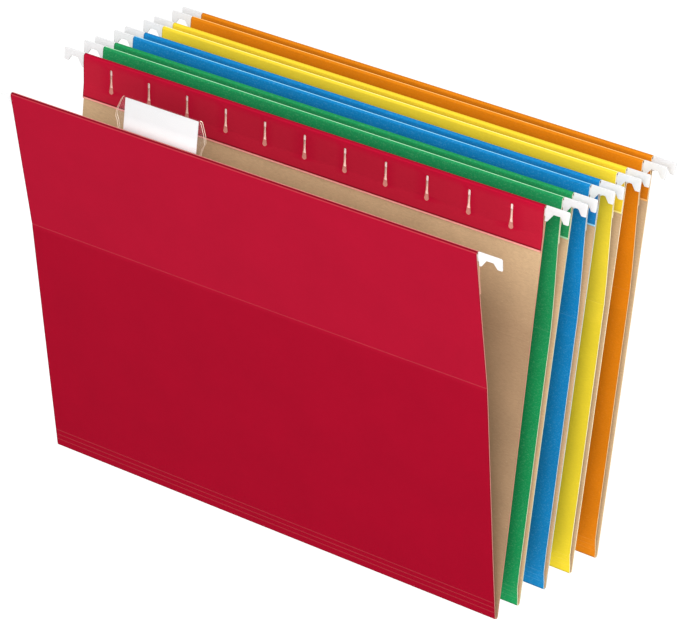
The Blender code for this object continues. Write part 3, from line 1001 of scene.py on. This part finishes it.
def paper_material():
    """The insert's white card, painted lighter towards its foot against the shade that falls there."""
    material, tree, shader = new_material("insert_paper")
    place = add_node(tree, "ShaderNodeTexCoord").outputs["Object"]
    cloud = noise_node(tree, place, 160.0, 3.0, 0.6)
    grain = noise_node(tree, place, 2400.0, 2.0, 0.6)
    height = add_node(tree, "ShaderNodeTexCoord").outputs["Generated"]
    height = add_node(tree, "ShaderNodeSeparateXYZ", {0: height}).outputs[2]
    sheet = mix_colour(tree, ramp(tree, height, 0.50, 0.0), INSERT_HIGH, INSERT_LOW_LIT)
    value = varied_value(tree, ((cloud, 0.03), (grain, 0.05)))
    tree.links.new(tinted(tree, sheet, value), shader.inputs["Base Color"])
    shader.inputs["Roughness"].default_value = 0.75
    add_bump(tree, shader, grain, 0.3, 0.00006)
    return material


# ---- the stage ----

FLOOR_Z = -0.62
FLOOR_HALF = 12.0
AMBIENT = 0.45
KEY_PLACE = (0.95, -1.65, 0.85)
KEY_AIM = (0.0, -0.08, -0.1)
KEY_SIZE = 1.4
KEY_POWER = 38.0
SUN_STRENGTH = 2.0
SUN_ANGLE = radians(60)
CAMERA_YAW = radians(33.06)
CAMERA_PITCH = radians(22.74)
CAMERA_ROLL = radians(5.65)
CAMERA_PLACE = (1.01, -1.6092, 0.6607)
CAMERA_LENS = 194.4


def make_camera():
    across = cos(CAMERA_PITCH)
    back = Vector((sin(CAMERA_YAW) * across, -cos(CAMERA_YAW) * across, sin(CAMERA_PITCH)))
    level = Vector((cos(CAMERA_YAW), sin(CAMERA_YAW), 0.0))
    upward = back.cross(level)
    right = level * cos(CAMERA_ROLL) + upward * sin(CAMERA_ROLL)
    up = upward * cos(CAMERA_ROLL) - level * sin(CAMERA_ROLL)
    data = bpy.data.cameras.new("camera")
    data.lens = CAMERA_LENS
    camera = new_object("camera", data)
    turn = Matrix((right, up, back)).transposed().to_4x4()
    camera.matrix_world = Matrix.Translation(CAMERA_PLACE) @ turn
    bpy.context.scene.camera = camera


def make_floor():
    shape = bmesh.new()
    bmesh.ops.create_grid(shape, x_segments=1, y_segments=1, size=FLOOR_HALF)
    mesh = new_mesh("floor", shape)
    floor = new_object("floor", mesh)
    floor.location = (0.0, 0.0, FLOOR_Z)
    material, _, shader = new_material("floor")
    shader.inputs["Base Color"].default_value = (*FLOOR, 1.0)
    shader.inputs["Roughness"].default_value = 0.9
    shader.inputs["Specular IOR Level"].default_value = 0.1
    mesh.materials.append(material)


def add_light(name, place, aim, size, power):
    data = bpy.data.lights.new(name, "AREA")
    data.shape = "DISK"
    data.size = size
    data.energy = power
    light = new_object(name, data)
    toward = Vector(aim) - Vector(place)
    light.matrix_world = Matrix.Translation(place) @ toward.to_track_quat("-Z", "Y").to_matrix().to_4x4()


def make_lights():
    world = bpy.data.worlds.new("studio")
    world.use_nodes = True
    background = world.node_tree.nodes["Background"]
    background.inputs["Color"].default_value = (1.0, 1.0, 1.0, 1.0)
    background.inputs["Strength"].default_value = AMBIENT
    bpy.context.scene.world = world
    add_light("key", KEY_PLACE, KEY_AIM, KEY_SIZE, KEY_POWER)
    sun = bpy.data.lights.new("overhead", "SUN")
    sun.energy = SUN_STRENGTH
    sun.angle = SUN_ANGLE
    new_object("overhead", sun)


def main():
    materials = {
        "steel": steel_material(),
        "coating": coating_material(),
        "clear": clear_material("clear_plastic", CLEAR, 0.035, 0.05),
        "rim": clear_material("clear_plastic_rim", CLEAR_RIM_HIGHLIGHT, 0.85, 0.15),
        "paper": paper_material(),
    }
    kraft = kraft_material("kraft_inside", KRAFT)
    # A darker copy of the kraft, as painted shade low in the open red folder.
    painted_shade_kraft = kraft_material("kraft_inside_painted_shade", KRAFT_PAINTED_SHADE)
    for colour in FOLDERS:
        folder = Folder(colour)
        inside = painted_shade_kraft if colour == "red" else kraft
        card = make_card(folder, (face_material(colour), inside, cut_material(colour)))
        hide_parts(colour + "_back_panel", colour + "_front_panel")
        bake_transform(card)
        for side in (1, -1):
            make_rod_and_hooks(folder, side, materials)
        if colour == "red":
            to_panel = tab_matrix(folder)
            make_clear_tab(to_panel, materials)
            for word, x in (("left", -SLOT_PITCH), ("right", SLOT_PITCH)):
                make_prong(word, x, to_panel, materials)
            make_insert(to_panel, materials)
    make_camera()
    make_floor()
    make_lights()
    bpy.context.scene.view_settings.view_transform = "Standard"


main()
